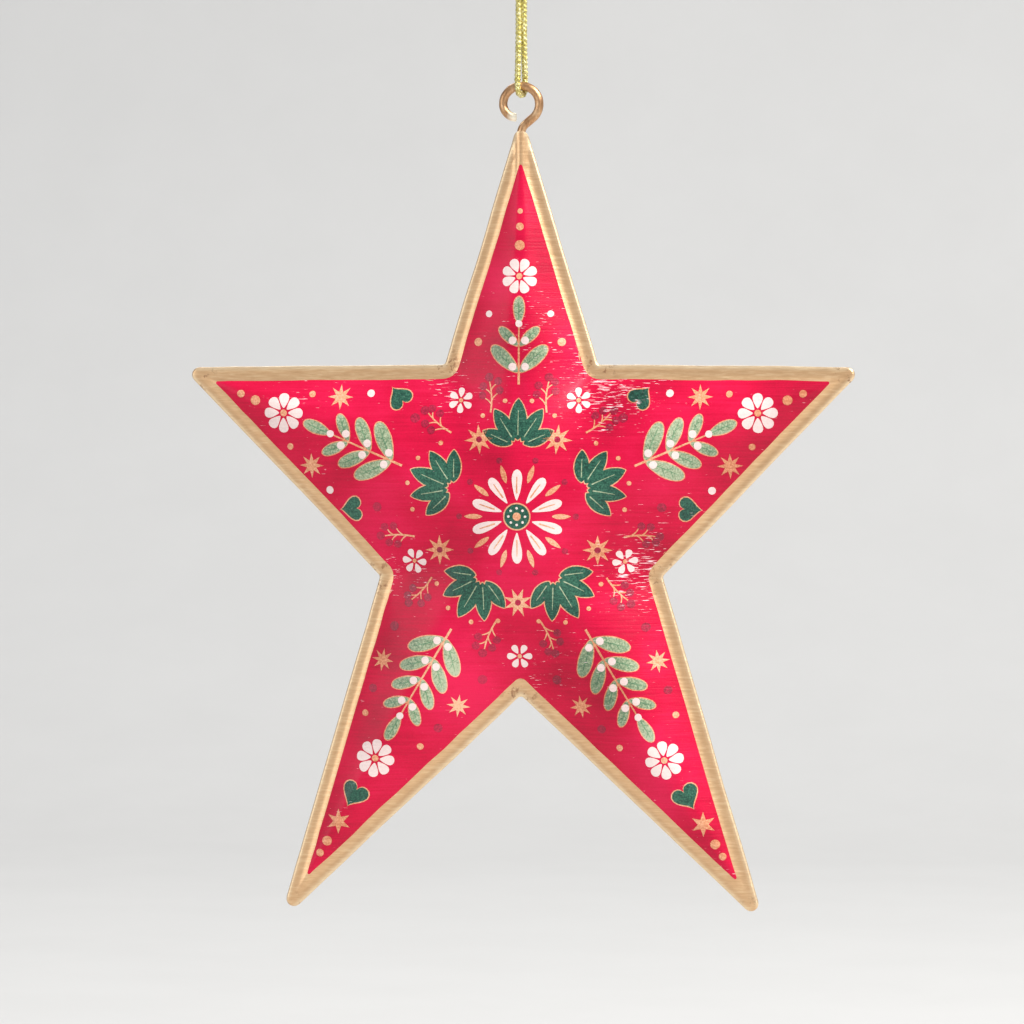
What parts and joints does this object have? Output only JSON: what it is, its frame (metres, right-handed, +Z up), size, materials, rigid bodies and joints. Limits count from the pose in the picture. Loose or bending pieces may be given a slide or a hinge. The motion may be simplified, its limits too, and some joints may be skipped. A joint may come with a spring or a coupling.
{
  "type": "hanging tin star ornament",
  "caption": "Puffed tin star with a gold hemmed rim and folk floral print, hung by a bent wire eye on a doubled metallic gold cord.",
  "frame": {"origin": "the point where a hook bears in the cord's loop, under the knot, on the line of the eye", "axes": "+Z up along the hanging cord; -Y is the printed front, +Y the back; +X to the right seen from the front"},
  "size_m": [0.1212, 0.0163, 0.201],
  "materials": {
    "printed_tin": "red and gold lacquer with a printed folk pattern over brushed tin plate",
    "gold_tin": "gold lacquer over brushed tin plate",
    "eye_wire": "copper-gold plated wire, satin",
    "solder": "dull grey solder",
    "gold_cord": "braided metallic gold yarn"
  },
  "bodies": {
    "upper_cord": {"cord_top_loop": "gold_cord", "cord_knot": "gold_cord"},
    "lower_cord": {"hanging_cord": "gold_cord"},
    "ornament": {"front_shell": "printed_tin", "back_shell": "gold_tin", "hanging_eye": "eye_wire", "eye_solder": "solder"}
  },
  "joints": [
    {"name": "cord_twist", "type": "hinge", "parent": "upper_cord", "child": "lower_cord", "pos_m": [0, 0, -0.018], "axis": [0, 0, 1], "range_deg": [-180, 180]},
    {"name": "eye_swing", "type": "hinge", "parent": "lower_cord", "child": "ornament", "pos_m": [0, 0, -0.0408], "axis": [1, 0, 0], "range_deg": [-90, 90]}
  ]
}
